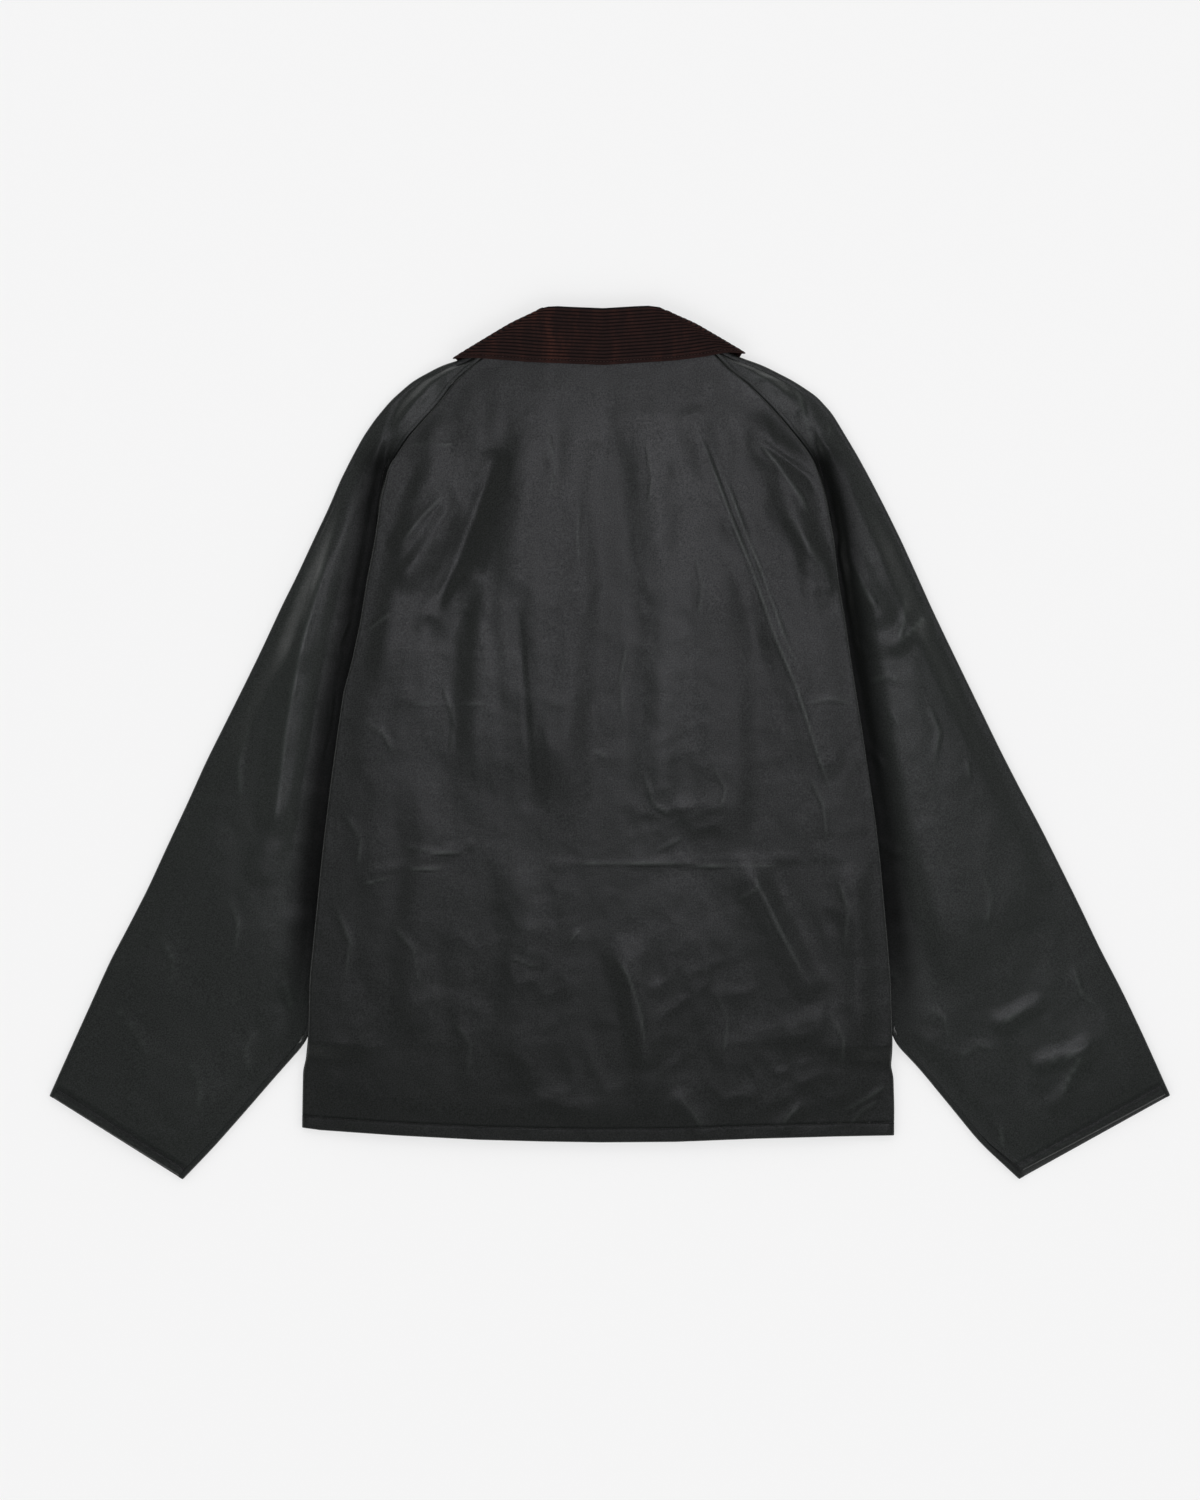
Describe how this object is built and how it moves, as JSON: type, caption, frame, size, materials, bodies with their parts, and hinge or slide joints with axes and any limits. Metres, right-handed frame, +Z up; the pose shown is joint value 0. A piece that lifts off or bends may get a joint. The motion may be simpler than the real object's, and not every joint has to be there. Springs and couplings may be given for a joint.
{
  "type": "waxed cotton jacket laid flat",
  "caption": "Short waxed cotton jacket with raglan sleeves and a folded-down corduroy collar, laid flat face down with its back showing.",
  "frame": {"origin": "centre of the laid jacket's box, on the floor it rests on", "axes": "+X to the right as seen from behind, +Y from hem to collar, +Z up from the floor, out of the back panel"},
  "size_m": [1.0642, 0.8295, 0.0084],
  "materials": {
    "waxed_cotton": "semi-gloss wax over a fine plain weave",
    "corduroy": "matt pile in fine wales",
    "press_stud": "aged satin"
  },
  "bodies": {
    "root": {"back": "waxed_cotton", "front_left": "waxed_cotton", "front_right": "waxed_cotton", "sleeve_left_back": "waxed_cotton", "sleeve_left_front": "waxed_cotton", "sleeve_right_back": "waxed_cotton", "sleeve_right_front": "waxed_cotton", "collar": "corduroy", "press_stud_1": "press_stud", "press_stud_2": "press_stud", "press_stud_3": "press_stud", "press_stud_4": "press_stud", "press_stud_5": "press_stud"}
  },
  "joints": []
}
